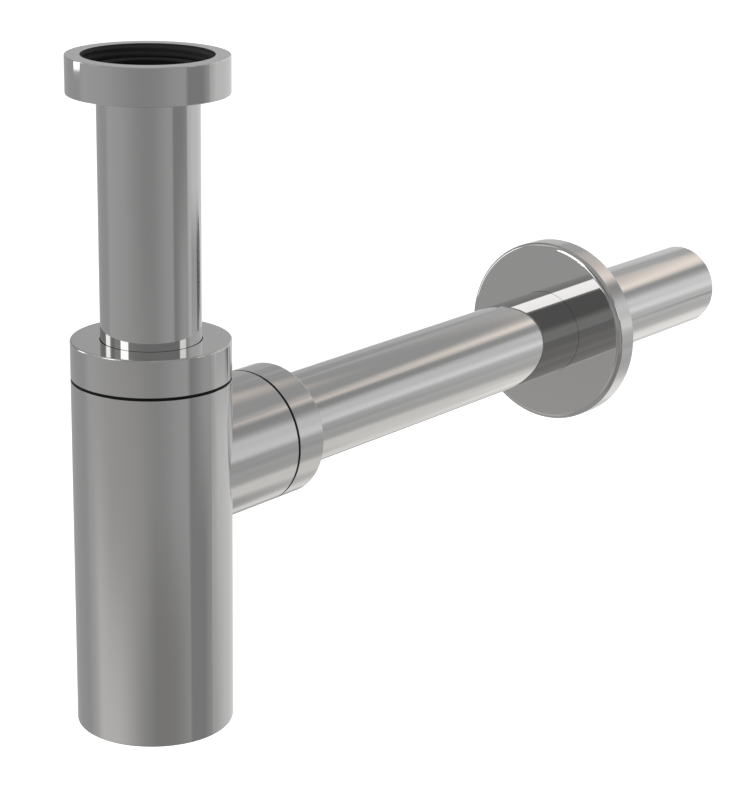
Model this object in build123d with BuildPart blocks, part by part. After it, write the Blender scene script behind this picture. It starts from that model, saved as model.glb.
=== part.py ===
"""Chromed brass bottle trap for a basin, 1 1/4 inch inlet, 32 mm tubes, with its wall pipe and rosette.

The frame: the origin is the centre of the inlet nut's mouth, +Z points up out of that mouth along the
bottle's axis, and +Y points along the outlet pipe towards the wall. Sizes are in millimetres.
Every piece of the trap is turned, spun or cut from tube, so nearly all of them are revolved sections.
"""

import os

from build123d import *

os.makedirs("parts", exist_ok=True)

# Both tubes are the usual 32 mm thin-walled brass tube
tube_diameter = 32.0
tube_wall = 1.0
tube_end_break = 0.25

# A turned hole that a tube only passes through, and a fit that a tube slides or turns in
passing_clearance = 0.25
running_clearance = 0.05

# Inlet nut, which screws on the basin waste
inlet_nut_diameter = 50.8
inlet_nut_height = 11.8
inlet_nut_shoulder = 2.0
inlet_nut_edge = 0.25
inlet_thread_diameter = 41.2
inlet_thread_length = 4.0
inlet_relief_depth = 0.5

# What the inlet nut clamps: nylon slip ring, flange of the tube, rubber washer
inlet_flange_play = 1.3
inlet_flange_thickness = 1.6
inlet_flange_fillet = 0.8
inlet_washer_thickness = 3.3
inlet_washer_edge = 0.4
inlet_slip_thickness = 0.8

# Heights along the bottle's axis
tube_in_view = 77.8
cap_height = 12.0
cap_gasket_thickness = 1.0
bottle_height = 116.1
outlet_below_bottle_top = 30.9
inlet_tube_above_floor = 20.0

# Seams show a black line: both edges are only just broken and the gasket lies just inside them
seam_edge = 0.06
gasket_inset = 0.1

# Bottle: a tube with a flat turned base let into its lower end
bottle_diameter = 51.0
bottle_wall = 1.2
bottle_base_edge = 0.45
base_thickness = 1.5

# Cap and the threaded neck that it screws on: with this wall the thread is M45 x 2
cap_roof = 2.4
cap_wall = 2.95
cap_edge = 0.5
neck_thread_height = 1.2
neck_mouth_rim = 1.2
neck_below_rim = 4.0
neck_waist = 0.5
neck_waist_height = 1.2
neck_lip = 2.4
neck_foot_wall = 3.0

# Tapered rubber seals and the slip rings on top of them
slip_thickness = 1.0
slip_inset = 0.4
seal_head = 0.8
seal_taper_length = 5.2
cap_seal_toe_wall = 1.35
outlet_seal_toe_wall = 1.15

# Branch, brazed on the bottle, and its threaded neck
branch_diameter = 45.2
branch_wall = 1.2
branch_reach = 45.5
branch_neck_seat = 5.0
branch_neck_break = 0.4
branch_neck_mouth_rim = 1.3
branch_neck_lip = 2.0
branch_neck_foot_wall = 2.2

# Outlet nut, as wide as the branch: with this wall the thread is G 1 1/4
outlet_gasket_thickness = 1.0
outlet_nut_wall = 1.65
outlet_nut_length = 12.0
outlet_nut_roof = 2.2
outlet_nut_edge = 0.45

# Outlet pipe and the rosette that hides the hole in the wall
outlet_pipe_length = 290.0
outlet_pipe_start = 27.3
rosette_diameter = 69.6
rosette_depth = 9.2
rosette_wall = 1.2
rosette_edge = 1.8
rosette_hole_play = 0.05
rosette_face_y = 218.6
rosette_collar_wall = 1.2
rosette_collar_length = 6.0
grip_ring_width = 2.35
grip_ring_length = 4.0

tube_radius = tube_diameter / 2
tube_bore = tube_radius - tube_wall
passing_radius = tube_radius + passing_clearance
running_radius = tube_radius + running_clearance

# Heights of the inlet's pieces, counted down from the nut's mouth
nut_foot = -inlet_nut_height
nut_shoulder_top = nut_foot + inlet_nut_shoulder
flange_under = nut_shoulder_top + inlet_slip_thickness
flange_top = flange_under + inlet_flange_thickness
washer_top = flange_top + inlet_washer_thickness

# Heights of the bottle's pieces
cap_top = nut_foot - tube_in_view
cap_rim = cap_top - cap_height
bottle_top = cap_rim - cap_gasket_thickness
bottle_foot = bottle_top - bottle_height
floor_top = bottle_foot + base_thickness
outlet_z = bottle_top - outlet_below_bottle_top
inlet_tube_foot = floor_top + inlet_tube_above_floor

bottle_radius = bottle_diameter / 2
bottle_bore = bottle_radius - bottle_wall
branch_radius = branch_diameter / 2
branch_bore = branch_radius - branch_wall

# The outlet's sections are drawn in the plane of the pipe: local x is the radius, straight up from
# the pipe's axis, and local y is the distance along the pipe from the bottle's axis
outlet_plane = Plane(origin=(0, 0, outlet_z), x_dir=(0, 0, 1), z_dir=(-1, 0, 0))
outlet_axis = Axis((0, 0, outlet_z), (0, 1, 0))

# Two radii are the same when they differ by less than this
radius_tolerance = 1e-6


def rims(piece, radius, along):
    """Round edges of one radius, in their order along an axis."""
    circles = piece.edges().filter_by(GeomType.CIRCLE)
    return circles.filter_by(lambda edge: abs(edge.radius - radius) < radius_tolerance).sort_by(along)


# Inlet nut: a threaded bore, a relief below the thread and a shoulder that lifts the tube's flange
thread_radius = inlet_thread_diameter / 2
relief_radius = thread_radius + inlet_relief_depth
thread_foot = -inlet_thread_length
flange_radius = thread_radius - inlet_flange_play
with BuildPart() as inlet_nut:
    with BuildSketch(Plane.XZ):
        with BuildLine():
            Polyline(
                (passing_radius, nut_foot),
                (inlet_nut_diameter / 2, nut_foot),
                (inlet_nut_diameter / 2, 0),
                (thread_radius, 0),
                (thread_radius, thread_foot),
                (relief_radius, thread_foot - inlet_relief_depth),
                (relief_radius, nut_shoulder_top),
                (passing_radius, nut_shoulder_top),
                close=True,
            )
        make_face()
    revolve(axis=Axis.Z)
    fillet(rims(inlet_nut, inlet_nut_diameter / 2, Axis.Z), radius=inlet_nut_edge)

# Nylon ring that lets the nut turn under the tube's flange
with BuildPart() as inlet_slip_ring:
    with BuildSketch(Plane.XY.offset(nut_shoulder_top)):
        Circle(flange_radius)
        Circle(running_radius, mode=Mode.SUBTRACT)
    extrude(amount=inlet_slip_thickness)

# Inlet tube with its turned-out flange, reaching down almost to the bottle's floor
with BuildPart() as inlet_tube:
    with BuildSketch(Plane.XZ):
        with BuildLine():
            Polyline(
                (tube_bore, inlet_tube_foot),
                (tube_radius, inlet_tube_foot),
                (tube_radius, flange_under),
                (flange_radius, flange_under),
                (flange_radius, flange_top),
                (tube_bore, flange_top),
                close=True,
            )
        make_face()
    revolve(axis=Axis.Z)
    fillet(rims(inlet_tube, tube_bore, Axis.Z)[-1], radius=inlet_flange_fillet)

# Flat rubber washer between the flange and the basin waste
with BuildPart() as inlet_washer:
    with BuildSketch(Plane.XY.offset(flange_top)):
        Circle(flange_radius)
        Circle(tube_radius, mode=Mode.SUBTRACT)
    extrude(amount=inlet_washer_thickness)
    washer_rims = inlet_washer.faces().sort_by(Axis.Z)[-1].edges()
    chamfer(washer_rims, length=inlet_washer_edge)

# Cap: a round nut with a flat roof, threaded inside
cap_bore = bottle_radius - cap_wall
neck_radius = cap_bore - running_clearance
neck_core_radius = neck_radius - neck_thread_height
cap_roof_under = cap_top - cap_roof
with BuildPart() as body_cap:
    with BuildSketch(Plane.XZ):
        with BuildLine():
            Polyline(
                (passing_radius, cap_top),
                (bottle_radius, cap_top),
                (bottle_radius, cap_rim),
                (cap_bore, cap_rim),
                (cap_bore, cap_roof_under),
                (passing_radius, cap_roof_under),
                close=True,
            )
        make_face()
    revolve(axis=Axis.Z)
    fillet(rims(body_cap, bottle_radius, Axis.Z)[-1], radius=cap_edge)
    chamfer(rims(body_cap, bottle_radius, Axis.Z)[0], length=seam_edge)

# Nylon slip ring and tapered rubber seal that the cap presses into the neck
cap_slip_foot = cap_roof_under - slip_thickness
neck_top = cap_slip_foot - seal_head
seal_toe = neck_top - seal_taper_length
cap_seal_radius = neck_core_radius - neck_mouth_rim
cap_seal_toe_radius = running_radius + cap_seal_toe_wall
with BuildPart() as cap_slip_ring:
    with BuildSketch(Plane.XY.offset(cap_slip_foot)):
        Circle(cap_seal_radius + slip_inset)
        Circle(running_radius, mode=Mode.SUBTRACT)
    extrude(amount=slip_thickness)

with BuildPart() as cap_seal:
    with BuildSketch(Plane.XZ):
        with BuildLine():
            Polyline(
                (running_radius, cap_slip_foot),
                (cap_seal_radius, cap_slip_foot),
                (cap_seal_radius, neck_top),
                (cap_seal_toe_radius, seal_toe),
                (running_radius, seal_toe),
                close=True,
            )
        make_face()
    revolve(axis=Axis.Z)

# Flat gasket in the seam between the cap and the bottle
with BuildPart() as cap_gasket:
    with BuildSketch(Plane.XY.offset(bottle_top)):
        Circle(bottle_radius - gasket_inset)
        Circle(neck_radius, mode=Mode.SUBTRACT)
    extrude(amount=cap_gasket_thickness)

# Threaded neck, brazed in the bottle's mouth: conical seat, guiding lip, waist below the thread
neck_foot = bottle_top - neck_below_rim
lip_foot = seal_toe - neck_lip
waist_top = bottle_top + neck_waist_height
waist_radius = neck_radius - neck_waist
with BuildPart() as body_neck:
    with BuildSketch(Plane.XZ):
        with BuildLine():
            Polyline(
                (cap_seal_radius, neck_top),
                (neck_core_radius, neck_top),
                (neck_radius, neck_top - neck_thread_height),
                (neck_radius, waist_top),
                (waist_radius, waist_top - neck_waist),
                (waist_radius, bottle_top),
                (bottle_bore, bottle_top),
                (bottle_bore, neck_foot),
                (bottle_bore - neck_foot_wall, neck_foot),
                (bottle_bore - neck_foot_wall, lip_foot - neck_foot_wall),
                (passing_radius, lip_foot),
                (passing_radius, seal_toe),
                (cap_seal_toe_radius, seal_toe),
                close=True,
            )
        make_face()
    revolve(axis=Axis.Z)

# Bottle shell: a tube with the hole that the branch stands on
with BuildPart() as body_shell:
    with BuildSketch(Plane.XY.offset(bottle_foot)):
        Circle(bottle_radius)
        Circle(bottle_bore, mode=Mode.SUBTRACT)
    extrude(amount=bottle_height)
    fillet(rims(body_shell, bottle_radius, Axis.Z)[0], radius=bottle_base_edge)
    chamfer(rims(body_shell, bottle_radius, Axis.Z)[-1], length=seam_edge)
    with BuildSketch(outlet_plane):
        Rectangle(branch_bore, bottle_diameter, align=(Align.MIN, Align.MIN))
    revolve(axis=outlet_axis, mode=Mode.SUBTRACT)

# Base: a turned disc let in flush with the shell's lower end
with BuildPart() as body_base:
    with BuildSketch(Plane.XY.offset(bottle_foot)):
        Circle(bottle_bore)
    extrude(amount=base_thickness)

# Branch: a tube cut to saddle on the bottle
with BuildPart() as branch:
    with BuildSketch(outlet_plane):
        with BuildLine():
            Polyline(
                (branch_bore, 0),
                (branch_radius, 0),
                (branch_radius, branch_reach),
                (branch_bore, branch_reach),
                close=True,
            )
        make_face()
    revolve(axis=outlet_axis)
    chamfer(rims(branch, branch_radius, Axis.Y)[-1], length=seam_edge)
    with BuildSketch(Plane.XY.offset(bottle_foot)):
        Circle(bottle_radius)
    extrude(amount=bottle_height, mode=Mode.SUBTRACT)

# Outlet nut, its slip ring and its tapered seal, drawn like the cap's along the pipe
outlet_nut_start = branch_reach + outlet_gasket_thickness
outlet_nut_end = outlet_nut_start + outlet_nut_length
outlet_roof_under = outlet_nut_end - outlet_nut_roof
outlet_slip_start = outlet_roof_under - slip_thickness
branch_neck_end = outlet_slip_start - seal_head
outlet_seal_toe = branch_neck_end - seal_taper_length
outlet_nut_bore = branch_radius - outlet_nut_wall
branch_thread_radius = outlet_nut_bore - running_clearance
branch_mouth_radius = branch_thread_radius - branch_neck_break
outlet_seal_radius = branch_mouth_radius - branch_neck_mouth_rim
outlet_seal_toe_radius = running_radius + outlet_seal_toe_wall
with BuildPart() as outlet_nut:
    with BuildSketch(outlet_plane):
        with BuildLine():
            Polyline(
                (passing_radius, outlet_nut_end),
                (branch_radius, outlet_nut_end),
                (branch_radius, outlet_nut_start),
                (outlet_nut_bore, outlet_nut_start),
                (outlet_nut_bore, outlet_roof_under),
                (passing_radius, outlet_roof_under),
                close=True,
            )
        make_face()
    revolve(axis=outlet_axis)
    fillet(rims(outlet_nut, branch_radius, Axis.Y)[-1], radius=outlet_nut_edge)
    chamfer(rims(outlet_nut, branch_radius, Axis.Y)[0], length=seam_edge)

with BuildPart() as outlet_slip_ring:
    with BuildSketch(outlet_plane):
        with BuildLine():
            Polyline(
                (running_radius, outlet_slip_start),
                (outlet_seal_radius + slip_inset, outlet_slip_start),
                (outlet_seal_radius + slip_inset, outlet_roof_under),
                (running_radius, outlet_roof_under),
                close=True,
            )
        make_face()
    revolve(axis=outlet_axis)

with BuildPart() as outlet_seal:
    with BuildSketch(outlet_plane):
        with BuildLine():
            Polyline(
                (running_radius, outlet_slip_start),
                (outlet_seal_radius, outlet_slip_start),
                (outlet_seal_radius, branch_neck_end),
                (outlet_seal_toe_radius, outlet_seal_toe),
                (running_radius, outlet_seal_toe),
                close=True,
            )
        make_face()
    revolve(axis=outlet_axis)

# Flat gasket in the seam between the branch and the outlet nut
with BuildPart() as outlet_gasket:
    with BuildSketch(outlet_plane):
        with BuildLine():
            Polyline(
                (branch_thread_radius, branch_reach),
                (branch_radius - gasket_inset, branch_reach),
                (branch_radius - gasket_inset, outlet_nut_start),
                (branch_thread_radius, outlet_nut_start),
                close=True,
            )
        make_face()
    revolve(axis=outlet_axis)

# Threaded neck, brazed in the branch's end
branch_neck_start = branch_reach - branch_neck_seat
branch_lip_start = outlet_seal_toe - branch_neck_lip
branch_foot_bore = branch_bore - branch_neck_foot_wall
with BuildPart() as branch_neck:
    with BuildSketch(outlet_plane):
        with BuildLine():
            Polyline(
                (outlet_seal_radius, branch_neck_end),
                (branch_mouth_radius, branch_neck_end),
                (branch_thread_radius, branch_neck_end - branch_neck_break),
                (branch_thread_radius, branch_reach),
                (branch_bore, branch_reach),
                (branch_bore, branch_neck_start),
                (branch_foot_bore, branch_neck_start),
                (branch_foot_bore, branch_lip_start - branch_neck_foot_wall),
                (passing_radius, branch_lip_start),
                (passing_radius, outlet_seal_toe),
                (outlet_seal_toe_radius, outlet_seal_toe),
                close=True,
            )
        make_face()
    revolve(axis=outlet_axis)

# Outlet pipe, cut square at both ends
outlet_pipe_end = outlet_pipe_start + outlet_pipe_length
with BuildPart() as outlet_pipe:
    with BuildSketch(outlet_plane):
        with BuildLine():
            Polyline(
                (tube_bore, outlet_pipe_start),
                (tube_radius, outlet_pipe_start),
                (tube_radius, outlet_pipe_end),
                (tube_bore, outlet_pipe_end),
                close=True,
            )
        make_face()
    revolve(axis=outlet_axis)
    chamfer(rims(outlet_pipe, tube_radius, Axis.Y), length=tube_end_break)

# Rosette: one spun shell with a flat face, a rolled-over rim and a collar round the pipe
rosette_radius = rosette_diameter / 2
rosette_back_y = rosette_face_y + rosette_depth
face_back_y = rosette_face_y + rosette_wall
grip_radius = running_radius + grip_ring_width
collar_radius = grip_radius + rosette_collar_wall
rosette_hole_radius = tube_radius + rosette_hole_play
with BuildPart() as rosette:
    with BuildSketch(outlet_plane):
        with BuildLine():
            Polyline(
                (rosette_hole_radius, rosette_face_y),
                (rosette_radius, rosette_face_y),
                (rosette_radius, rosette_back_y),
                (rosette_radius - rosette_wall, rosette_back_y),
                (rosette_radius - rosette_wall, face_back_y),
                (collar_radius, face_back_y),
                (collar_radius, face_back_y + rosette_collar_length),
                (grip_radius, face_back_y + rosette_collar_length),
                (grip_radius, face_back_y),
                (rosette_hole_radius, face_back_y),
                close=True,
            )
        make_face()
    revolve(axis=outlet_axis)
    fillet(rims(rosette, rosette_radius, Axis.Y)[0], radius=rosette_edge)

# Rubber ring in the rosette's collar, which holds it where it is pushed along the pipe
with BuildPart() as rosette_grip_ring:
    with BuildSketch(outlet_plane):
        with BuildLine():
            Polyline(
                (running_radius, face_back_y),
                (grip_radius, face_back_y),
                (grip_radius, face_back_y + grip_ring_length),
                (running_radius, face_back_y + grip_ring_length),
                close=True,
            )
        make_face()
    revolve(axis=outlet_axis)

inlet_nut.part.label = "inlet_nut"
inlet_slip_ring.part.label = "inlet_slip_ring"
inlet_tube.part.label = "inlet_tube"
inlet_washer.part.label = "inlet_washer"
body_cap.part.label = "body_cap"
cap_slip_ring.part.label = "cap_slip_ring"
cap_seal.part.label = "cap_seal"
cap_gasket.part.label = "cap_gasket"
body_neck.part.label = "body_neck"
body_shell.part.label = "body_shell"
body_base.part.label = "body_base"
branch.part.label = "branch"
branch_neck.part.label = "branch_neck"
outlet_nut.part.label = "outlet_nut"
outlet_slip_ring.part.label = "outlet_slip_ring"
outlet_seal.part.label = "outlet_seal"
outlet_gasket.part.label = "outlet_gasket"
outlet_pipe.part.label = "outlet_pipe"
rosette.part.label = "rosette"
rosette_grip_ring.part.label = "rosette_grip_ring"

export_step(inlet_nut.part, "parts/inlet_nut.step")
export_step(inlet_slip_ring.part, "parts/inlet_slip_ring.step")
export_step(inlet_tube.part, "parts/inlet_tube.step")
export_step(inlet_washer.part, "parts/inlet_washer.step")
export_step(body_cap.part, "parts/body_cap.step")
export_step(cap_slip_ring.part, "parts/cap_slip_ring.step")
export_step(cap_seal.part, "parts/cap_seal.step")
export_step(cap_gasket.part, "parts/cap_gasket.step")
export_step(body_neck.part, "parts/body_neck.step")
export_step(body_shell.part, "parts/body_shell.step")
export_step(body_base.part, "parts/body_base.step")
export_step(branch.part, "parts/branch.step")
export_step(branch_neck.part, "parts/branch_neck.step")
export_step(outlet_nut.part, "parts/outlet_nut.step")
export_step(outlet_slip_ring.part, "parts/outlet_slip_ring.step")
export_step(outlet_seal.part, "parts/outlet_seal.step")
export_step(outlet_gasket.part, "parts/outlet_gasket.step")
export_step(outlet_pipe.part, "parts/outlet_pipe.step")
export_step(rosette.part, "parts/rosette.step")
export_step(rosette_grip_ring.part, "parts/rosette_grip_ring.step")
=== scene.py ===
"""Looks of the chromed basin trap: finishes, cut threads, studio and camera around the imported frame.

Everything is in metres in the frame's own axes: the origin is the centre of the inlet nut's mouth, +Z
leaves that mouth along the bottle's axis, and +Y runs along the outlet pipe to the wall.
"""

from __future__ import annotations

import logging
import math
from abc import ABC, abstractmethod
from dataclasses import dataclass, field
from enum import Enum

import bmesh
import bpy
from bpy.types import NodeSocket
from mathutils import Matrix, Vector


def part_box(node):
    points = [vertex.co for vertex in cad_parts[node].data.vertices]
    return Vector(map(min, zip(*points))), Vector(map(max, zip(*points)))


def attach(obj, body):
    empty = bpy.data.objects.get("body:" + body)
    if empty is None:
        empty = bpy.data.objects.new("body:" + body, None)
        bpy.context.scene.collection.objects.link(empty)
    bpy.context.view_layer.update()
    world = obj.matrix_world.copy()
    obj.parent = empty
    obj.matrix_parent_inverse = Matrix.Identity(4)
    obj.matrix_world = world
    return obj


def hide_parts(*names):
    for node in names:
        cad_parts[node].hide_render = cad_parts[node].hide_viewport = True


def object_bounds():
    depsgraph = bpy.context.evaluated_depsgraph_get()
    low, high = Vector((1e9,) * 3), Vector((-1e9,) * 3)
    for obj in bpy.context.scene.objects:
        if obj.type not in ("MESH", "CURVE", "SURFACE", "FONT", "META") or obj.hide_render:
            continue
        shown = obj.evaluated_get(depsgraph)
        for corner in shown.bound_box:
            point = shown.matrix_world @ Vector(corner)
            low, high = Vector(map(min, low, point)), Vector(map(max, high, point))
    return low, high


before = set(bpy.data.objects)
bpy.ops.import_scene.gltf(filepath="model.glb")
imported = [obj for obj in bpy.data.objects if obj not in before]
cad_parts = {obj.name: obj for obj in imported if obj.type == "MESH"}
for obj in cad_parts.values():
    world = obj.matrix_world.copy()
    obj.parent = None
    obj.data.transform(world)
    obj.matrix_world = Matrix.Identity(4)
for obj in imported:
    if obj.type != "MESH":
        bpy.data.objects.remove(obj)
cad_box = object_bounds()

log = logging.getLogger("basin_trap")

MILLIMETRE = 0.001

Colour = tuple[float, float, float]
Section = list[tuple[float, float, float]]


class Grain(Enum):
    """How the last polish ran over a surface, so how its faint lines lie."""

    ALONG_Z = "along the bottle's axis"
    ALONG_Y = "along the outlet pipe"
    RINGS_ROUND_Z = "turned about the bottle's axis"
    RINGS_ROUND_Y = "turned about the outlet pipe"


class ThreadSide(Enum):
    """Whether a thread is cut in the outside of a neck or stands in from a nut's wall."""

    MALE = "outside"
    FEMALE = "inside"


class Run(Enum):
    """The axis that a turned piece is built round."""

    BOTTLE = "bottle"
    OUTLET = "outlet"


def outlet_height() -> float:
    """Finds the outlet pipe's axis.

    Returns: its height.
    """
    low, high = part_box("outlet_pipe")
    return (low.z + high.z) / 2


def opaque(colour: Colour) -> tuple[float, float, float, float]:
    """Gives a colour a full alpha.

    Args:
        colour: red, green and blue.

    Returns: the colour as a node's input takes it.
    """
    return (*colour, 1.0)


class NodeCanvas:
    """A node tree with short calls for the nodes that the finishes, the lathe and the studio use."""

    def __init__(self, tree: bpy.types.NodeTree) -> None:
        """Takes the tree to build in.

        Args:
            tree: the tree that the calls add to.
        """
        self.tree = tree

    def add(self, kind: str, **settings: object) -> bpy.types.Node:
        """Adds a node and sets its properties.

        Args:
            kind: the node's type name.
            settings: its properties by name.

        Returns: the new node.
        """
        node = self.tree.nodes.new(kind)
        for name, value in settings.items():
            setattr(node, name, value)
        return node

    def feed(self, socket: NodeSocket, value: object) -> None:
        """Links a socket to another, or sets its plain value.

        Args:
            socket: the input to fill.
            value: an output socket, a number or a tuple.
        """
        if isinstance(value, NodeSocket):
            self.tree.links.new(value, socket)
        else:
            socket.default_value = value

    def put(self, kind: str, inputs: dict[str | int, object], **settings: object) -> NodeSocket:
        """Adds a node and fills its inputs.

        Args:
            kind: the node's type name.
            inputs: what goes into its inputs, by their names or places.
            settings: its properties by name.

        Returns: its first output.
        """
        node = self.add(kind, **settings)
        for key, value in inputs.items():
            self.feed(node.inputs[key], value)
        return node.outputs[0]

    def math(self, operation: str, *values: object) -> NodeSocket:
        """Adds a math node.

        Args:
            operation: the node's operation.
            values: its inputs in order.

        Returns: its result.
        """
        return self.put("ShaderNodeMath", dict(enumerate(values)), operation=operation)

    def smooth_step(self, value: NodeSocket, start: float, end: float) -> NodeSocket:
        """Adds a smooth ramp from 0 at start to 1 at end.

        Args:
            value: what is mapped.
            start: where the ramp begins.
            end: where it ends, below start for a falling ramp.

        Returns: the ramp's value.
        """
        rising = start < end
        inputs = {
            "Value": value,
            "From Min": min(start, end),
            "From Max": max(start, end),
            "To Min": 0.0 if rising else 1.0,
            "To Max": 1.0 if rising else 0.0,
        }
        return self.put("ShaderNodeMapRange", inputs, interpolation_type="SMOOTHSTEP")

    def place(self) -> NodeSocket:
        """Reads where a surface point lies in its object's own axes.

        Returns: the point.
        """
        return self.add("ShaderNodeTexCoord").outputs["Object"]

    def split(self, vector: NodeSocket) -> bpy.types.NodeOutputs:
        """Takes a vector apart.

        Args:
            vector: the vector.

        Returns: its X, Y and Z.
        """
        node = self.add("ShaderNodeSeparateXYZ")
        self.feed(node.inputs[0], vector)
        return node.outputs

    def join(self, *parts: NodeSocket) -> NodeSocket:
        """Puts a vector together.

        Args:
            parts: its X, Y and Z in order. One that is left out is 0.

        Returns: the vector.
        """
        return self.put("ShaderNodeCombineXYZ", dict(enumerate(parts)))

    def noise(self, detail: float, size: float = 1.0, point: NodeSocket | None = None) -> NodeSocket:
        """Adds a noise texture.

        Args:
            detail: how many finer layers it has.
            size: how large its patches are.
            point: where it is read, which is the surface point if it isn't given.

        Returns: the noise, from 0 to 1.
        """
        where = self.place() if point is None else point
        return self.put("ShaderNodeTexNoise", {"Vector": where, "Scale": 1.0 / size, "Detail": detail})

    def relief(self, height: NodeSocket, depth: float = 1.0) -> NodeSocket:
        """Bends the surface's normal as a fine relief would.

        Args:
            height: the relief.
            depth: how many metres a height of 1 stands for.

        Returns: the normal.
        """
        return self.put("ShaderNodeBump", {"Height": height, "Distance": depth})

    def blend(self, share: NodeSocket, first: object, second: object, label: str = "") -> NodeSocket:
        """Mixes two colours.

        Args:
            share: how much of the second shows.
            first: a colour or the socket that gives it.
            second: the same for the other colour.
            label: what the node is called.

        Returns: the mixed colour.
        """
        node = self.add("ShaderNodeMix", data_type="RGBA", label=label)
        self.feed(node.inputs["Factor"], share)
        self.feed(node.inputs["A"], first)
        self.feed(node.inputs["B"], second)
        return node.outputs["Result"]

    def mix_shaders(self, share: NodeSocket, first: NodeSocket, second: NodeSocket) -> NodeSocket:
        """Mixes two shaders.

        Args:
            share: how much of the second shows.
            first: one shader.
            second: the other.

        Returns: the mixed shader.
        """
        return self.put("ShaderNodeMixShader", {"Fac": share, 1: first, 2: second})

    def end(self, shader: NodeSocket, kind: str = "ShaderNodeOutputMaterial") -> None:
        """Ends the tree with its shader.

        Args:
            shader: the shader.
            kind: the output node's type name.
        """
        self.feed(self.add(kind).inputs["Surface"], shader)


def new_material(name: str) -> tuple[bpy.types.Material, NodeCanvas]:
    """Makes an empty node material.

    Args:
        name: the finish's name.

    Returns: the material and a canvas on its tree.
    """
    material = bpy.data.materials.new(name)
    material.use_nodes = True
    material.node_tree.nodes.clear()
    return material, NodeCanvas(material.node_tree)


def axis_distance(canvas: NodeCanvas, run: Run) -> NodeSocket:
    """Measures how far a surface point is from a turned piece's axis.

    Args:
        canvas: the material's canvas.
        run: which axis.

    Returns: the distance in metres.
    """
    parts = canvas.split(canvas.place())
    across = parts["Y"]
    if run is Run.OUTLET:
        across = canvas.math("SUBTRACT", parts["Z"], outlet_height())
    squares = canvas.math(
        "ADD", canvas.math("POWER", parts["X"], 2.0), canvas.math("POWER", across, 2.0)
    )
    return canvas.math("SQRT", squares)


@dataclass(frozen=True)
class Finish(ABC):
    """A surface finish that turns into a material."""

    name: str

    @abstractmethod
    def shader(self, canvas: NodeCanvas) -> NodeSocket:
        """Builds the finish's shader.

        Args:
            canvas: the material's canvas.

        Returns: the shader.
        """

    def material(self) -> bpy.types.Material:
        """Makes a material with the finish's shader.

        Returns: the material.
        """
        material, canvas = new_material(self.name)
        canvas.end(self.shader(canvas))
        return material


@dataclass(frozen=True)
class PolishedChrome(Finish):
    """Bright chrome plate on turned or drawn brass, with the faint lines that the mop leaves."""

    grain: Grain
    reflectance: Colour = (0.553, 0.551, 0.548)
    roughness: float = 0.018
    roughness_spread: float = 0.02
    line_width: float = 0.00025
    line_stretch: float = 60.0
    line_depth: float = 0.0000003
    line_detail: float = 3.0
    waviness: float = 0.0000012
    wave_length: float = 0.035
    wave_detail: float = 1.0

    def _grain_point(self, canvas: NodeCanvas) -> NodeSocket:
        """Finds the point that the polish lines are read at, squeezed across their run.

        Args:
            canvas: the material's canvas.

        Returns: the point, in line widths.
        """
        if self.grain in (Grain.ALONG_Z, Grain.ALONG_Y):
            across = 1.0 / self.line_width
            along = across / self.line_stretch
            scale = (across, across, along) if self.grain is Grain.ALONG_Z else (across, along, across)
            return canvas.put("ShaderNodeMapping", {"Vector": canvas.place(), "Scale": scale})
        run = Run.BOTTLE if self.grain is Grain.RINGS_ROUND_Z else Run.OUTLET
        parts = canvas.split(canvas.place())
        depth = parts["Z"] if run is Run.BOTTLE else parts["Y"]
        radius = axis_distance(canvas, run)
        return canvas.join(
            canvas.math("DIVIDE", radius, self.line_width), canvas.math("DIVIDE", depth, self.line_width)
        )

    def shader(self, canvas: NodeCanvas) -> NodeSocket:
        """Builds the plate's shader.

        Args:
            canvas: the material's canvas.

        Returns: the shader.
        """
        lines = canvas.noise(self.line_detail, point=self._grain_point(canvas))
        waves = canvas.noise(self.wave_detail, self.wave_length)
        height = canvas.math(
            "ADD",
            canvas.math("MULTIPLY", lines, self.line_depth),
            canvas.math("MULTIPLY", waves, self.waviness),
        )
        inputs = {
            "Base Color": opaque(self.reflectance),
            "Metallic": 1.0,
            "Roughness": canvas.math("MULTIPLY_ADD", lines, self.roughness_spread, self.roughness),
            "Normal": canvas.relief(height),
        }
        return canvas.put("ShaderNodeBsdfPrincipled", inputs)


@dataclass(frozen=True)
class BareBrass(Finish):
    """Turned brass without plate, dulled by handling: inside tubes and on the brazed necks."""

    bright: Colour = (0.62, 0.47, 0.26)
    dull: Colour = (0.36, 0.26, 0.15)
    roughness: float = 0.32
    roughness_spread: float = 0.2
    patch_size: float = 0.006
    patch_detail: float = 5.0
    mark_size: float = 0.0004
    mark_detail: float = 2.0
    mark_depth: float = 0.000004

    def shader(self, canvas: NodeCanvas) -> NodeSocket:
        """Builds the metal's shader.

        Args:
            canvas: the material's canvas.

        Returns: the shader.
        """
        patches = canvas.noise(self.patch_detail, self.patch_size)
        marks = canvas.noise(self.mark_detail, self.mark_size)
        inputs = {
            "Base Color": canvas.blend(patches, opaque(self.bright), opaque(self.dull)),
            "Metallic": 1.0,
            "Roughness": canvas.math("MULTIPLY_ADD", patches, self.roughness_spread, self.roughness),
            "Normal": canvas.relief(marks, self.mark_depth),
        }
        return canvas.put("ShaderNodeBsdfPrincipled", inputs)


@dataclass(frozen=True)
class PlatedTube(Finish):
    """A tube that is chromed outside and bare brass inside."""

    grain: Grain
    run: Run
    wall_radius: float
    fade: float = 0.0001

    def shader(self, canvas: NodeCanvas) -> NodeSocket:
        """Builds both metals' shader, which changes over within the tube's wall.

        Args:
            canvas: the material's canvas.

        Returns: the shader.
        """
        plate = PolishedChrome(self.name, self.grain).shader(canvas)
        inside = BareBrass(self.name).shader(canvas)
        start, end = self.wall_radius - self.fade, self.wall_radius + self.fade
        outside = canvas.smooth_step(axis_distance(canvas, self.run), start, end)
        return canvas.mix_shaders(outside, inside, plate)


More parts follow.
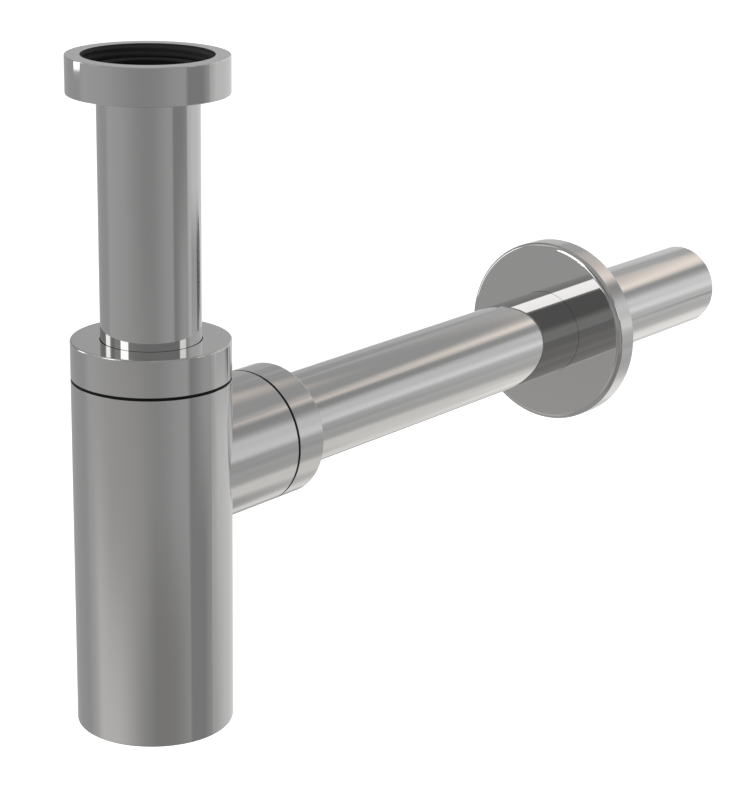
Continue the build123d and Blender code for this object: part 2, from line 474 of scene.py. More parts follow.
@dataclass(frozen=True)
class BlackRubber(Finish):
    """Moulded black rubber with a fine matt grain and a little bloom."""

    colour: Colour = (0.004, 0.004, 0.004)
    bloom: Colour = (0.009, 0.009, 0.009)
    gloss: float = 0.1
    grain_size: float = 0.0005
    grain_detail: float = 4.0
    grain_depth: float = 0.00003
    roughness: float = 0.5
    roughness_spread: float = 0.15

    def shader(self, canvas: NodeCanvas) -> NodeSocket:
        """Builds the rubber's shader.

        Args:
            canvas: the material's canvas.

        Returns: the shader.
        """
        grain = canvas.noise(self.grain_detail, self.grain_size)
        inputs = {
            "Base Color": canvas.blend(grain, opaque(self.colour), opaque(self.bloom)),
            "Roughness": canvas.math("MULTIPLY_ADD", grain, self.roughness_spread, self.roughness),
            "Specular IOR Level": self.gloss,
            "Normal": canvas.relief(grain, self.grain_depth),
        }
        return canvas.put("ShaderNodeBsdfPrincipled", inputs)


@dataclass(frozen=True)
class WhiteNylon(Finish):
    """Natural nylon, a milky satin plastic that light goes into a little."""

    colour: Colour = (0.78, 0.77, 0.72)
    shade: Colour = (0.70, 0.68, 0.62)
    cloud_size: float = 0.004
    cloud_detail: float = 2.0
    roughness: float = 0.38
    milkiness: float = 0.15
    milk_depth: float = 0.001

    def shader(self, canvas: NodeCanvas) -> NodeSocket:
        """Builds the plastic's shader.

        Args:
            canvas: the material's canvas.

        Returns: the shader.
        """
        cloud = canvas.noise(self.cloud_detail, self.cloud_size)
        inputs = {
            "Base Color": canvas.blend(cloud, opaque(self.colour), opaque(self.shade)),
            "Roughness": self.roughness,
            "Subsurface Weight": self.milkiness,
            "Subsurface Scale": self.milk_depth,
        }
        return canvas.put("ShaderNodeBsdfPrincipled", inputs)


@dataclass(frozen=True)
class NutChrome(Finish):
    """The inlet nut's plate, which stops at the mouth: the threaded bore gets a near-black colour, painted
    shade for the dark inside of the nut.
    """

    bore_radius: float
    # painted shade: the near-black colour and dull gloss of the bore and its thread stand in for the shade
    # inside the nut
    bore_shade_colour: Colour = (0.045, 0.045, 0.045)
    bore_shade_roughness: float = 0.6
    bore_shade_gloss: float = 0.04
    fade: float = 0.00004

    def shader(self, canvas: NodeCanvas) -> NodeSocket:
        """Builds the shader of plate and the bore's painted shade, which changes over at the bore's wall.

        Args:
            canvas: the material's canvas.

        Returns: the shader.
        """
        plate = PolishedChrome(self.name, Grain.RINGS_ROUND_Z).shader(canvas)
        # painted shade: everything inside the bore's radius gets this near-black colour for the dark inside
        # of the nut
        inputs = {
            "Base Color": opaque(self.bore_shade_colour),
            "Roughness": self.bore_shade_roughness,
            "Specular IOR Level": self.bore_shade_gloss,
        }
        painted_bore_shade = canvas.put("ShaderNodeBsdfPrincipled", inputs)
        start, end = self.bore_radius, self.bore_radius + self.fade
        outside = canvas.smooth_step(axis_distance(canvas, Run.BOTTLE), start, end)
        return canvas.mix_shaders(outside, painted_bore_shade, plate)


@dataclass(frozen=True)
class Thread:
    """A helical thread's pitch and depth in metres, and the side that it is on."""

    pitch: float
    depth: float
    side: ThreadSide

    def stretch(self, radius: float, start: float, end: float, steps_per_pitch: int = 14) -> Section:
        """Lists a section's points along the thread, with marks that fade over its first and last half turn.

        Args:
            radius: the wall's radius.
            start: where the thread begins.
            end: where it ends.
            steps_per_pitch: how finely each turn is cut.

        Returns: the points as (radius, along, mark).
        """
        length = abs(end - start)
        count = max(2, round(length / self.pitch * steps_per_pitch))
        fade = min(self.pitch / 2, length / 4)
        points = []
        for step in range(count + 1):
            share = step / count
            from_end = min(share, 1.0 - share) * length
            points.append((radius, start + (end - start) * share, min(1.0, from_end / fade)))
        return points


def plain(*points: tuple[float, float]) -> Section:
    """Lists a section's points that have no thread.

    Args:
        points: the points as (radius, along).

    Returns: the points with a mark of 0.
    """
    return [(radius, along, 0.0) for radius, along in points]


class ThreadLathe:
    """Turns a section into a closed piece and cuts a helical thread where the section is marked.

    The section is a loop of points (radius, along) in metres. Each has a mark from 0 to 1 that says how
    deep the thread is there, so a thread runs out smoothly at its ends.
    """

    MARK = "thread_mark"
    INPUTS = {
        "Pitch": "NodeSocketFloat",
        "Depth": "NodeSocketFloat",
        "Sharp Angle": "NodeSocketFloat",
        "Inside": "NodeSocketBool",
        "Segments": "NodeSocketInt",
        "Turn": "NodeSocketVector",
        "Place": "NodeSocketVector",
        "Finish": "NodeSocketMaterial",
    }
    SHARP_ANGLE = math.radians(42)
    SEGMENTS = 160
    FLANK_START = 0.12
    FLANK_END = 0.88
    WELD_DISTANCE = 0.000001

    def __init__(self) -> None:
        """Builds the node tree once, for every threaded piece."""
        self.tree = bpy.data.node_groups.new("turn_and_thread", "GeometryNodeTree")
        self.identifiers: dict[str, str] = {}
        self._declare()
        self._build()

    def _declare(self) -> None:
        """Declares what goes into the tree and what comes out."""
        interface = self.tree.interface
        interface.new_socket("Section", in_out="INPUT", socket_type="NodeSocketGeometry")
        for name, kind in self.INPUTS.items():
            socket = interface.new_socket(name, in_out="INPUT", socket_type=kind)
            self.identifiers[name] = socket.identifier
        interface.new_socket("Piece", in_out="OUTPUT", socket_type="NodeSocketGeometry")

    def _build(self) -> None:
        """Builds the tree: a grid bent round the axis, with its radius cut by the thread's profile."""
        canvas = NodeCanvas(self.tree)
        given = canvas.add("NodeGroupInput").outputs
        count = canvas.add("GeometryNodeAttributeDomainSize", component="MESH")
        canvas.feed(count.inputs[0], given["Section"])
        points = count.outputs["Point Count"]
        vertices = {
            "Vertices X": canvas.math("ADD", given["Segments"], 1.0),
            "Vertices Y": canvas.math("ADD", points, 1.0),
        }
        grid = canvas.put("GeometryNodeMeshGrid", vertices)
        place = canvas.split(canvas.add("GeometryNodeInputPosition").outputs[0])
        turn = canvas.math("ADD", place["X"], 0.5)
        angle = canvas.math("MULTIPLY", turn, math.tau)
        row = canvas.math("MULTIPLY", canvas.math("ADD", place["Y"], 0.5), points)
        row = canvas.math("MODULO", canvas.math("ROUND", row), points)
        section = canvas.split(self._sampled(canvas, given["Section"], row, "FLOAT_VECTOR"))
        mark = self._sampled(canvas, given["Section"], row, "FLOAT")
        depth = self._cut_depth(canvas, given, section["Z"], turn, mark)
        radius = canvas.math("SUBTRACT", section["X"], depth)
        spot = canvas.join(
            canvas.math("MULTIPLY", radius, canvas.math("COSINE", angle)),
            canvas.math("MULTIPLY", radius, canvas.math("SINE", angle)),
            section["Z"],
        )
        bent = canvas.put("GeometryNodeSetPosition", {"Geometry": grid, "Position": spot})
        weld = {"Geometry": bent, "Distance": self.WELD_DISTANCE}
        self._end(canvas, given, canvas.put("GeometryNodeMergeByDistance", weld))

    def _sampled(self, canvas: NodeCanvas, section: NodeSocket, row: NodeSocket, kind: str) -> NodeSocket:
        """Reads the section's position or its thread mark at a row.

        Args:
            canvas: the tree's canvas.
            section: the section's geometry.
            row: the row's number.
            kind: FLOAT_VECTOR for the position, FLOAT for the mark.

        Returns: the value read.
        """
        if kind == "FLOAT_VECTOR":
            value = canvas.add("GeometryNodeInputPosition").outputs[0]
        else:
            value = canvas.put("GeometryNodeInputNamedAttribute", {"Name": self.MARK}, data_type=kind)
        inputs = {"Geometry": section, "Index": row, "Value": value}
        return canvas.put("GeometryNodeSampleIndex", inputs, data_type=kind, domain="POINT")

    def _cut_depth(
        self,
        canvas: NodeCanvas,
        given: bpy.types.NodeOutputs,
        along: NodeSocket,
        turn: NodeSocket,
        mark: NodeSocket,
    ) -> NodeSocket:
        """Works out how deep the thread goes in at a point.

        Args:
            canvas: the tree's canvas.
            given: the tree's inputs.
            along: where the point lies along the axis.
            turn: how far round it lies, from 0 to 1.
            mark: its thread mark.

        Returns: the depth in metres.
        """
        phase = canvas.math("SUBTRACT", canvas.math("DIVIDE", along, given["Pitch"]), turn)
        slope = canvas.math("MULTIPLY_ADD", canvas.math("FRACT", phase), 2.0, -1.0)
        ridge = canvas.smooth_step(canvas.math("ABSOLUTE", slope), self.FLANK_START, self.FLANK_END)
        sides = {"Switch": given["Inside"], "False": canvas.math("SUBTRACT", 1.0, ridge), "True": ridge}
        cut = canvas.put("GeometryNodeSwitch", sides, input_type="FLOAT")
        return canvas.math("MULTIPLY", canvas.math("MULTIPLY", cut, mark), given["Depth"])

    def _end(self, canvas: NodeCanvas, given: bpy.types.NodeOutputs, mesh: NodeSocket) -> None:
        """Ends the tree: sharp edges, the piece's place, plain geometry and its finish.

        Args:
            canvas: the tree's canvas.
            given: the tree's inputs.
            mesh: the welded mesh.
        """
        smooth = canvas.put("GeometryNodeSetShadeSmooth", {"Geometry": mesh}, domain="FACE")
        angles = {0: canvas.add("GeometryNodeInputMeshEdgeAngle").outputs[0], 1: given["Sharp Angle"]}
        sharp = canvas.put("FunctionNodeCompare", angles, data_type="FLOAT", operation="GREATER_THAN")
        edges = {"Geometry": smooth, "Selection": sharp, "Shade Smooth": False}
        creased = canvas.put("GeometryNodeSetShadeSmooth", edges, domain="EDGE")
        move = {"Geometry": creased, "Translation": given["Place"], "Rotation": given["Turn"]}
        placed = canvas.put("GeometryNodeTransform", move)
        real = canvas.put("GeometryNodeRealizeInstances", {0: placed})
        finished = canvas.put("GeometryNodeSetMaterial", {"Geometry": real, "Material": given["Finish"]})
        canvas.feed(canvas.add("NodeGroupOutput").inputs[0], finished)

    def turn(
        self, name: str, section: Section, thread: Thread, run: Run, finish: bpy.types.Material
    ) -> bpy.types.Object:
        """Turns one piece.

        Args:
            name: the piece's name.
            section: its loop of (radius, along, mark).
            thread: the thread that is cut where the section is marked.
            run: the axis it is turned round.
            finish: its material.

        Returns: the piece, a plain mesh at the origin.
        """
        mesh = bpy.data.meshes.new(name + "_section")
        mesh.from_pydata([(radius, 0.0, along) for radius, along, _ in section], [], [])
        marks = mesh.attributes.new(self.MARK, "FLOAT", "POINT")
        marks.data.foreach_set("value", [mark for _, _, mark in section])
        blank = bpy.data.objects.new(name + "_blank", mesh)
        bpy.context.scene.collection.objects.link(blank)
        modifier = blank.modifiers.new("turn", "NODES")
        modifier.node_group = self.tree
        outlet = run is Run.OUTLET
        values = {
            "Pitch": thread.pitch,
            "Depth": thread.depth,
            "Sharp Angle": self.SHARP_ANGLE,
            "Inside": thread.side is ThreadSide.FEMALE,
            "Segments": self.SEGMENTS,
            "Turn": (-math.pi / 2, 0.0, 0.0) if outlet else (0.0, 0.0, 0.0),
            "Place": (0.0, 0.0, outlet_height()) if outlet else (0.0, 0.0, 0.0),
            "Finish": finish,
        }
        for label, value in values.items():
            modifier[self.identifiers[label]] = value
        bpy.context.view_layer.update()
        graph = bpy.context.evaluated_depsgraph_get()
        turned = bpy.data.meshes.new_from_object(blank.evaluated_get(graph), depsgraph=graph)
        bpy.data.objects.remove(blank)
        turned.name = name
        face_outwards(turned)
        piece = bpy.data.objects.new(name, turned)
        bpy.context.scene.collection.objects.link(piece)
        return piece


def face_outwards(mesh: bpy.types.Mesh) -> None:
    """Turns a closed mesh's faces outwards when they point in.

    Args:
        mesh: the mesh to check.
    """
    shape = bmesh.new()
    shape.from_mesh(mesh)
    if shape.calc_volume(signed=True) < 0:
        bmesh.ops.reverse_faces(shape, faces=shape.faces)
        shape.to_mesh(mesh)
    shape.free()


def give_finish(material: bpy.types.Material, *nodes: str) -> None:
    """Gives CAD nodes a finish.

    Args:
        material: the finish.
        nodes: the nodes' names.
    """
    for name in nodes:
        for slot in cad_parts[name].material_slots:
            slot.material = material
        log.info("%s wears %s", name, material.name)


@dataclass
class Finishes:
    """Every material of the trap, made once."""

    nut_bore_radius: float = 0.02062
    tube_wall_radius: float = 0.0155
    plate_reflectance: Colour = (0.515, 0.51, 0.506)
    washer_colour: Colour = (0.012, 0.012, 0.012)
    washer_bloom: Colour = (0.018, 0.018, 0.018)
    rubber: bpy.types.Material = field(init=False)
    washer_rubber: bpy.types.Material = field(init=False)
    nylon: bpy.types.Material = field(init=False)
    brass: bpy.types.Material = field(init=False)
    nut: bpy.types.Material = field(init=False)
    drawn_upright: bpy.types.Material = field(init=False)
    drawn_outlet: bpy.types.Material = field(init=False)
    turned_upright: bpy.types.Material = field(init=False)
    turned_outlet: bpy.types.Material = field(init=False)
    spun_plate: bpy.types.Material = field(init=False)
    inlet_tube: bpy.types.Material = field(init=False)
    outlet_pipe: bpy.types.Material = field(init=False)

    def __post_init__(self) -> None:
        """Makes the materials."""
        self.rubber = BlackRubber("black_rubber_grained").material()
        self.washer_rubber = BlackRubber(
            "washer_rubber_bloomed", self.washer_colour, self.washer_bloom
        ).material()
        self.nylon = WhiteNylon("milky_nylon").material()
        self.brass = BareBrass("turned_brass").material()
        self.nut = NutChrome("nut_chrome", self.nut_bore_radius).material()
        self.drawn_upright = PolishedChrome("chrome_mopped_upright", Grain.ALONG_Z).material()
        self.drawn_outlet = PolishedChrome("chrome_mopped_outlet", Grain.ALONG_Y).material()
        self.turned_upright = PolishedChrome("chrome_turned_upright", Grain.RINGS_ROUND_Z).material()
        self.turned_outlet = PolishedChrome("chrome_turned_outlet", Grain.RINGS_ROUND_Y).material()
        self.spun_plate = PolishedChrome(
            "chrome_spun_plate", Grain.RINGS_ROUND_Y, self.plate_reflectance
        ).material()
        self.inlet_tube = PlatedTube(
            "chrome_inlet_tube", Grain.ALONG_Z, Run.BOTTLE, self.tube_wall_radius
        ).material()
        self.outlet_pipe = PlatedTube(
            "chrome_outlet_pipe", Grain.ALONG_Y, Run.OUTLET, self.tube_wall_radius
        ).material()


@dataclass
class InletUnion:
    """The nut on top with its thread, and what it clamps: slip ring, flanged tube and washer."""

    finishes: Finishes
    lathe: ThreadLathe
    thread: Thread = Thread(0.002309, 0.0002, ThreadSide.FEMALE)
    thread_root: float = 0.02052
    thread_top: float = -0.00012
    thread_foot: float = -0.00395
    backing: float = 0.00006

    def build(self) -> None:
        """Cuts the nut's thread: ridges that stand in from the bore's wall."""
        wall = self.thread_root + self.backing
        section = plain((wall, self.thread_foot), (wall, self.thread_top))
        section += self.thread.stretch(self.thread_root, self.thread_top, self.thread_foot)
        # painted shade: the thread lies inside the bore's radius, so the nut material paints it near-black
        piece = self.lathe.turn("inlet_nut_thread", section, self.thread, Run.BOTTLE, self.finishes.nut)
        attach(piece, "nut")
        log.info("inlet_nut_thread cut, pitch %.3f mm", self.thread.pitch / MILLIMETRE)

    def dress(self) -> None:
        """Finishes the CAD pieces."""
        give_finish(self.finishes.nut, "inlet_nut")
        give_finish(self.finishes.nylon, "inlet_slip_ring")
        give_finish(self.finishes.inlet_tube, "inlet_tube")
        give_finish(self.finishes.washer_rubber, "inlet_washer")


@dataclass
class Bottle:
    """The bottle: shell, base, cap with its seals, and the threaded neck that the cap turns on."""

    finishes: Finishes
    lathe: ThreadLathe
    thread: Thread = Thread(0.002, 0.0011, ThreadSide.MALE)
    crest_radius: float = 0.0225
    seat_radius: float = 0.0201
    seat_toe_radius: float = 0.0174
    seat_length: float = 0.0052
    bore_radius: float = 0.01625
    lip_length: float = 0.0024
    foot_wall: float = 0.003
    below_rim: float = 0.004
    mouth_chamfer: float = 0.0012
    waist: float = 0.0005
    waist_height: float = 0.0012

    def build(self) -> None:
        """Turns the neck with its thread cut, in place of the plain CAD neck."""
        low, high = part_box("body_neck")
        shell_bore = high.x
        top, foot = high.z, low.z
        rim = foot + self.below_rim
        waist_top = rim + self.waist_height
        seat_toe = top - self.seat_length
        lip_foot = seat_toe - self.lip_length
        waist_radius = self.crest_radius - self.waist
        foot_bore = shell_bore - self.foot_wall
        section = plain((self.seat_radius, top), (self.crest_radius - self.mouth_chamfer, top))
        section += self.thread.stretch(self.crest_radius, top - self.mouth_chamfer, waist_top)
        section += plain(
            (waist_radius, waist_top - self.waist),
            (waist_radius, rim),
            (shell_bore, rim),
            (shell_bore, foot),
            (foot_bore, foot),
            (foot_bore, lip_foot - self.foot_wall),
            (self.bore_radius, lip_foot),
            (self.bore_radius, seat_toe),
            (self.seat_toe_radius, seat_toe),
        )
        piece = self.lathe.turn(
            "threaded_body_neck", section, self.thread, Run.BOTTLE, self.finishes.brass
        )
        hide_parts("body_neck")
        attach(piece, "trap_body")
        log.info("threaded_body_neck turned, %.1f mm high", (top - foot) / MILLIMETRE)

    def dress(self) -> None:
        """Finishes the CAD pieces."""
        give_finish(self.finishes.turned_upright, "body_cap", "body_base")
        give_finish(self.finishes.drawn_upright, "body_shell")
        give_finish(self.finishes.rubber, "cap_gasket", "cap_seal")
        give_finish(self.finishes.nylon, "cap_slip_ring")
        give_finish(self.finishes.brass, "body_neck")


@dataclass
class OutletBranch:
    """The side branch with its threaded neck, and the compression nut with its seals."""

    finishes: Finishes
    lathe: ThreadLathe
    thread: Thread = Thread(0.002309, 0.0011, ThreadSide.MALE)
    crest_radius: float = 0.0209
    seat_radius: float = 0.0192
    seat_toe_radius: float = 0.0172
    seat_length: float = 0.0052
    bore_radius: float = 0.01625
    lip_length: float = 0.002
    foot_wall: float = 0.0022
    foot_length: float = 0.005
    mouth_chamfer: float = 0.0004

    def build(self) -> None:
        """Turns the branch's neck with its thread cut, in place of the plain CAD neck."""
        low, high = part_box("branch_neck")
        branch_bore = high.x
        end, start = high.y, low.y
        rim = start + self.foot_length
        seat_toe = end - self.seat_length
        lip_start = seat_toe - self.lip_length
        foot_bore = branch_bore - self.foot_wall
        section = plain((self.seat_radius, end), (self.crest_radius - self.mouth_chamfer, end))
        section += self.thread.stretch(self.crest_radius, end - self.mouth_chamfer, rim)
        section += plain(
            (branch_bore, rim),
            (branch_bore, start),
            (foot_bore, start),
            (foot_bore, lip_start - self.foot_wall),
            (self.bore_radius, lip_start),
            (self.bore_radius, seat_toe),
            (self.seat_toe_radius, seat_toe),
        )
        piece = self.lathe.turn(
            "threaded_branch_neck", section, self.thread, Run.OUTLET, self.finishes.brass
        )
        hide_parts("branch_neck")
        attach(piece, "trap_body")
        log.info("threaded_branch_neck turned, %.1f mm long", (end - start) / MILLIMETRE)

    def dress(self) -> None:
        """Finishes the CAD pieces."""
        give_finish(self.finishes.drawn_outlet, "branch")
        give_finish(self.finishes.turned_outlet, "outlet_nut")
        give_finish(self.finishes.rubber, "outlet_gasket", "outlet_seal")
        give_finish(self.finishes.nylon, "outlet_slip_ring")
        give_finish(self.finishes.brass, "branch_neck")


@dataclass
class WallPipe:
    """The outlet pipe and the rosette on it."""

    finishes: Finishes

    def dress(self) -> None:
        """Finishes the CAD pieces."""
        give_finish(self.finishes.outlet_pipe, "outlet_pipe")
        give_finish(self.finishes.spun_plate, "rosette")
        give_finish(self.finishes.rubber, "rosette_grip_ring")


@dataclass(frozen=True)
class SoftPanel:
    """One soft light or grey card of the studio, seen from the trap between two bearings and heights.

    Bearings are degrees from +Y towards +X, heights are degrees above the horizon, and the level is the
    panel's brightness, where 1 is white. The feathers are the widths of its soft edges in degrees.
    """

    name: str
    bearing: tuple[float, float]
    height: tuple[float, float]
    level: float
    side_feather: tuple[float, float] = (10.0, 10.0)
    end_feather: tuple[float, float] = (5.0, 5.0)
    tint: Colour = (1.0, 1.0, 1.0)

    @staticmethod
    def _band(
        canvas: NodeCanvas, value: NodeSocket, low: float, high: float, feather: tuple[float, float]
    ) -> NodeSocket:
        """Builds a mask that is 1 between two limits and 0 beyond them.

        Args:
            canvas: the tent's canvas.
            value: what is masked.
            low: the lower limit, in the middle of its soft edge.
            high: the upper limit, likewise.
            feather: the widths of both soft edges.

        Returns: the mask.
        """
        rise = canvas.smooth_step(value, low - feather[0] / 2, low + feather[0] / 2)
        fall = canvas.smooth_step(value, high + feather[1] / 2, high - feather[1] / 2)
        return canvas.math("MULTIPLY", rise, fall)

    def window(self, canvas: NodeCanvas, bearing: NodeSocket, height: NodeSocket) -> NodeSocket:
        """Builds the panel's mask: 1 on it, 0 off it, soft at its edges.

        Args:
            canvas: the tent's canvas.
            bearing: the direction's bearing in degrees.
            height: its height in degrees.

        Returns: the mask.
        """
        middle = (self.bearing[0] + self.bearing[1]) / 2
        half = (self.bearing[1] - self.bearing[0]) / 2
        turned = canvas.math("WRAP", canvas.math("SUBTRACT", bearing, middle), 180.0, -180.0)
        sides = self._band(canvas, turned, -half, half, self.side_feather)
        ends = self._band(canvas, height, *self.height, self.end_feather)
        return canvas.math("MULTIPLY", sides, ends)


@dataclass
class Studio:
    """Plain pale floor, light tent with soft panels, an overhead soft box, the world and the camera."""

    floor_below: float = 0.45
    floor_size: float = 12.0
    floor_colour: Colour = (0.9, 0.9, 0.9)
    floor_glow: float = 0.6
    tent_radius: float = 30.0
    tent_subdivisions: int = 5
    tent_level: float = 0.48
    lamp_size: float = 1.0
    lamp_place: tuple[float, float, float] = (0.0, 0.1, 1.6)
    lamp_power: float = 16.0
    world_light: float = 0.6
    warm_floor: Colour = (1.0, 0.985, 0.965)
    warm_glow: Colour = (1.0, 0.995, 0.98)
    warm_strip: Colour = (1.0, 0.98, 0.95)
    warm_lamp: Colour = (1.035, 0.935, 0.855)
    cool_sky: Colour = (0.995, 1.0, 1.005)
    camera_place: tuple[float, float, float] = (0.506269, -0.523903, 0.118453)
    camera_yaw: float = 38.676
    camera_pitch: float = -17.402
    camera_roll: float = 0.918
    camera_clip: tuple[float, float] = (0.01, 100.0)
    focal_length_px: float = 2399.483
    image_height_px: float = 800.0
    sensor: float = 36.0

    def _surroundings(self) -> list[SoftPanel]:
        """Lists the walls and floors to the left, to the right and behind the camera.

        Returns: the panels, each laid over those before it.
        """
        return [
            SoftPanel("left wall", (-121, -60), (-50, 12), 0.45, (7.5, 20), (5, 8)),
            SoftPanel("left upper wall", (-96, -50.5), (12, 60), 0.35, (8, 15.5), (8, 8)),
            SoftPanel("left back wall", (-153.5, -118.5), (-50, 26.5), 0.55, (76.5, 18), (5, 7.5)),
            SoftPanel(
                "left back floor", (148.5, 226.5), (-60, -20), 0.78, (39.5, 20), (5, 8.5), self.warm_floor
            ),
            SoftPanel(
                "far floor behind", (166, 215), (-60, -29.5), 0.48, (9.5, 10), (5, 4.5), self.warm_floor
            ),
            SoftPanel("wall behind the camera", (93.5, 169.5), (-60, 22), 0.37, (60, 59.5), (5, 8)),
            SoftPanel(
                "skirting behind", (140.5, 212), (-22.5, -17), 0.48, (47.5, 42), (10, 9), self.warm_floor
            ),
            SoftPanel("line behind the camera", (125, 168), (-2.5, 13.5), 0.52, (16, 16), (3, 5)),
            SoftPanel("dark ceiling behind", (136, 180.5), (18, 44), 0.25, (6, 2), (5.5, 6)),
            SoftPanel(
                "floor under the camera", (97, 139.5), (-60, -21.5), 0.32, (51, 17), (5, 4), self.warm_floor
            ),
            SoftPanel("right wall", (84.5, 109.5), (-21.5, 12), 0.49, (1, 54.5), (5.5, 5)),
            SoftPanel("right upper wall", (68, 136), (12, 40), 0.37, (6, 16), (5, 5)),
        ]

    def _ahead(self) -> list[SoftPanel]:
        """Lists the floor, the strips of light and the ceiling ahead, where the outlet pipe runs.

        Returns: the panels, each laid over those before it.
        """
        return [
            SoftPanel("forward glow", (-50, 27.5), (-34.5, -2), 0.78, (30, 53), (3.5, 8), self.warm_glow),
            SoftPanel("low forward glow", (-24, 36.5), (-21.5, -2), 0.82, (24, 27.5), (11.5, 8)),
            SoftPanel("right flag", (49.5, 81.5), (-60, 12), 0.32, (19, 4.5), (5, 5)),
            SoftPanel("right flag's band", (37.5, 66.5), (-19.5, -13), 0.49, (22, 31.5), (4.5, 4.5)),
            SoftPanel("floor strip", (-60, 34), (-44, -33), 0.92, (20, 11), (5, 6), self.warm_strip),
            SoftPanel("far floor strip", (-15, 9.5), (-38.5, -29), 1.13, (8.5, 12), (3, 4), self.warm_strip),
            SoftPanel("forward floor's end", (-62, -29), (-44, -21), 0.49, (8, 7.5), (5, 5)),
            SoftPanel("horizon strip's beginning", (-44.5, -24), (-4, 20.5), 0.56, (15.5, 8.5), (6, 2)),
            SoftPanel("horizon strip", (-32.5, 37.5), (-6, 19), 0.99, (19.5, 10.5), (8, 13.5), self.cool_sky),
            SoftPanel("horizon strip's end", (36.5, 50), (-6, 17), 0.85, (1, 8), (7, 9), self.cool_sky),
            SoftPanel("horizon line", (24, 42), (-3, 4.5), 1.11, (6, 15.5), (3.5, 8)),
            SoftPanel("dim band in the glow", (9, 31.5), (-17, -13.3), 0.51, (5, 5), (4.5, 2)),
            SoftPanel("gap in the glow", (-2, 8.5), (-16.5, -13.3), 0.08, (5, 3), (4.5, 2)),
            SoftPanel("forward ceiling", (-31.5, -7), (21.5, 34), 0.59, (2.5, 8.5), (6, 5)),
            SoftPanel("ceiling strip", (-9.5, 26.5), (29.5, 35.5), 1.3, (28, 24), (6.5, 7), self.warm_lamp),
            SoftPanel(
                "ceiling strip's end", (25, 33.5), (30.5, 33.5), 0.94, (2, 13.5), (5, 1.5), self.warm_lamp
            ),
            SoftPanel("ceiling gap", (30.5, 43.5), (21.5, 28.5), 0.41, (9, 8.5), (7, 2.5)),
            SoftPanel("upper ceiling", (-22, -0.5), (42.5, 52), 0.83, (6, 23), (4.5, 6), self.warm_lamp),
        ]

    def _lamps(self) -> list[SoftPanel]:
        """Lists the lamps: the broad ones overhead and the ones that make the bright bars.

        Returns: the panels, each laid over those before it.
        """
        return [
            SoftPanel("overhead light", (-180, 180), (60, 91), 0.5, (1, 1), (12, 1)),
            SoftPanel("left overhead light", (-135, -98), (30, 62), 0.9, (8, 8), (8, 8)),
            SoftPanel("right lamp", (52.5, 68), (10, 26), 1.7, (3, 2), (3, 4)),
            SoftPanel("strip beside the left lamp", (-134, -120), (8, 26), 0.38, (4, 1), (3, 4)),
            SoftPanel("left lamp", (-117.5, -101.5), (-9.6, 26), 2.3, (1.5, 1.5), (0.1, 4)),
            SoftPanel("left lamp's edge", (-121, -117.5), (8, 26), 0.95, (2, 1), (3, 4)),
            SoftPanel("back lamp", (-171, -151), (5, 29), 2.8, (2, 2), (3, 3)),
            SoftPanel("back lamp's top", (-175.5, -151.5), (27, 40), 2.8, (2, 2), (3, 3)),
        ]

    def _tent(self) -> None:
        """Builds the tent: a great sphere that lights the trap and shows only in its reflections."""
        mesh = bpy.data.meshes.new("light_tent")
        shape = bmesh.new()
        bmesh.ops.create_icosphere(shape, subdivisions=self.tent_subdivisions, radius=self.tent_radius)
        bmesh.ops.reverse_faces(shape, faces=shape.faces)
        shape.to_mesh(mesh)
        shape.free()
        tent = bpy.data.objects.new("light_tent", mesh)
        bpy.context.scene.collection.objects.link(tent)
        material, canvas = new_material("tent_panels")
        direction = canvas.put("ShaderNodeVectorMath", {0: canvas.place()}, operation="NORMALIZE")
        parts = canvas.split(direction)
        bearing = canvas.math("DEGREES", canvas.math("ARCTAN2", parts["X"], parts["Y"]))
        height = canvas.math("DEGREES", canvas.math("ARCSINE", parts["Z"]))
        panels = self._surroundings() + self._ahead() + self._lamps()
        level: object = opaque((self.tent_level, self.tent_level, self.tent_level))
        for panel in panels:
            red, green, blue = (panel.level * part for part in panel.tint)
            window = panel.window(canvas, bearing, height)
            level = canvas.blend(window, level, opaque((red, green, blue)), panel.name)
        canvas.end(canvas.put("ShaderNodeEmission", {"Color": level}))
        material.cycles.emission_sampling = "NONE"
        mesh.materials.append(material)
        tent.visible_camera = False
        tent.visible_shadow = False
        log.info("light tent set up with %d soft panels", len(panels))

    def _seen_directly(self, canvas: NodeCanvas) -> NodeSocket:
        """Tells the rays that show the background from those that light the trap with it.

        Args:
            canvas: the material's or the world's canvas.

        Returns: 1 for rays from the camera, from a mirror or through glass, and 0 for others.
        """
        path = canvas.add("ShaderNodeLightPath").outputs
        mirror = canvas.math("MAXIMUM", path["Is Camera Ray"], path["Is Glossy Ray"])
        return canvas.math("MAXIMUM", mirror, path["Is Transmission Ray"])

    def _floor(self) -> None:
        """Lays the floor well below the trap, which hangs from its basin. It is clear from below."""
        low = cad_box[0]
        half = self.floor_size / 2
        level = low[2] - self.floor_below
        mesh = bpy.data.meshes.new("floor")
        corners = [(-half, -half, level), (half, -half, level), (half, half, level), (-half, half, level)]
        mesh.from_pydata(corners, [], [(0, 1, 2, 3)])
        floor = bpy.data.objects.new("floor", mesh)
        bpy.context.scene.collection.objects.link(floor)
        material, canvas = new_material("pale_floor")
        matt = canvas.put("ShaderNodeBsdfDiffuse", {"Color": opaque(self.floor_colour)})
        strength = canvas.math("MULTIPLY", self._seen_directly(canvas), self.floor_glow)
        glow = canvas.put("ShaderNodeEmission", {"Strength": strength})
        both = canvas.put("ShaderNodeAddShader", {0: matt, 1: glow})
        clear = canvas.put("ShaderNodeBsdfTransparent", {})
        from_below = canvas.add("ShaderNodeNewGeometry").outputs["Backfacing"]
        canvas.end(canvas.mix_shaders(from_below, both, clear))
        mesh.materials.append(material)
        floor.visible_glossy = False

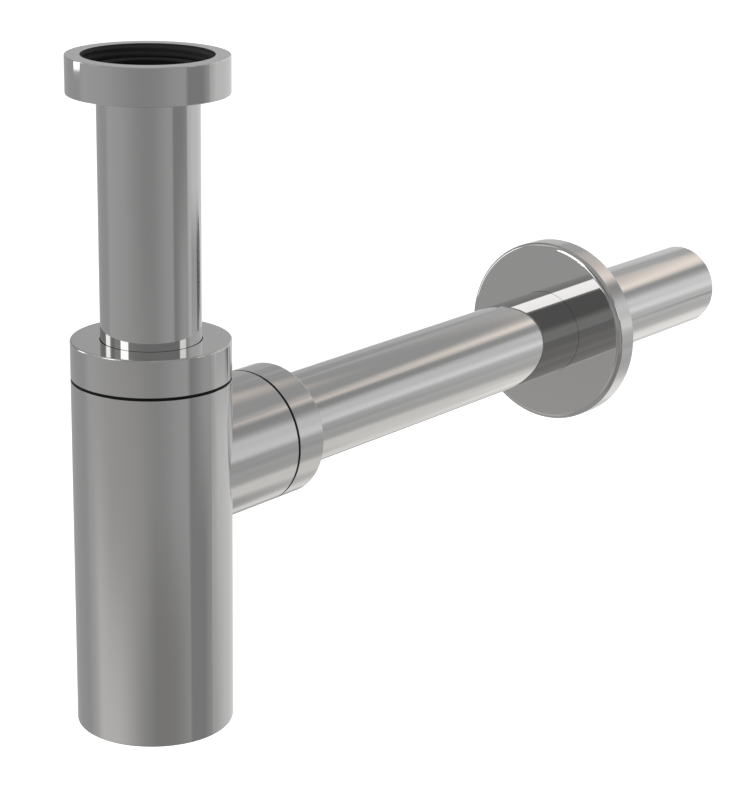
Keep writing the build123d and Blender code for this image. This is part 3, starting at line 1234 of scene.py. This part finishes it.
    def _world(self) -> None:
        """Makes the background white where it is seen, and a soft light elsewhere."""
        world = bpy.data.worlds.new("studio")
        bpy.context.scene.world = world
        world.use_nodes = True
        world.node_tree.nodes.clear()
        canvas = NodeCanvas(world.node_tree)
        strength = canvas.math(
            "MULTIPLY_ADD", self._seen_directly(canvas), 1.0 - self.world_light, self.world_light
        )
        white = opaque((1.0, 1.0, 1.0))
        background = canvas.put("ShaderNodeBackground", {"Color": white, "Strength": strength})
        canvas.end(background, "ShaderNodeOutputWorld")

    def _lamp(self) -> None:
        """Hangs the soft box over the trap."""
        data = bpy.data.lights.new("overhead_soft_box", "AREA")
        data.shape = "SQUARE"
        data.size = self.lamp_size
        data.energy = self.lamp_power
        lamp = bpy.data.objects.new("overhead_soft_box", data)
        lamp.location = self.lamp_place
        lamp.visible_glossy = False
        bpy.context.scene.collection.objects.link(lamp)

    def _camera(self) -> None:
        """Sets the camera at the photograph's angle."""
        data = bpy.data.cameras.new("camera")
        data.sensor_fit = "AUTO"
        data.sensor_width = self.sensor
        data.lens = self.focal_length_px * self.sensor / self.image_height_px
        data.clip_start, data.clip_end = self.camera_clip
        camera = bpy.data.objects.new("camera", data)
        turn = Matrix.Rotation(math.radians(self.camera_yaw), 4, "Z")
        nod = Matrix.Rotation(math.radians(90 + self.camera_pitch), 4, "X")
        lean = Matrix.Rotation(math.radians(self.camera_roll), 4, "Z")
        camera.matrix_world = Matrix.Translation(Vector(self.camera_place)) @ turn @ nod @ lean
        bpy.context.scene.collection.objects.link(camera)
        bpy.context.scene.camera = camera

    def build(self) -> None:
        """Sets the whole studio up."""
        bpy.context.scene.view_settings.view_transform = "Standard"
        self._tent()
        self._floor()
        self._world()
        self._lamp()
        self._camera()


def main() -> None:
    """Builds the trap's looks and its studio."""
    logging.basicConfig(level=logging.INFO, format="%(name)s: %(message)s")
    finishes = Finishes()
    lathe = ThreadLathe()
    for assembly in (InletUnion(finishes, lathe), Bottle(finishes, lathe), OutletBranch(finishes, lathe)):
        assembly.build()
        assembly.dress()
    WallPipe(finishes).dress()
    Studio().build()


if __name__ == "__main__":
    main()
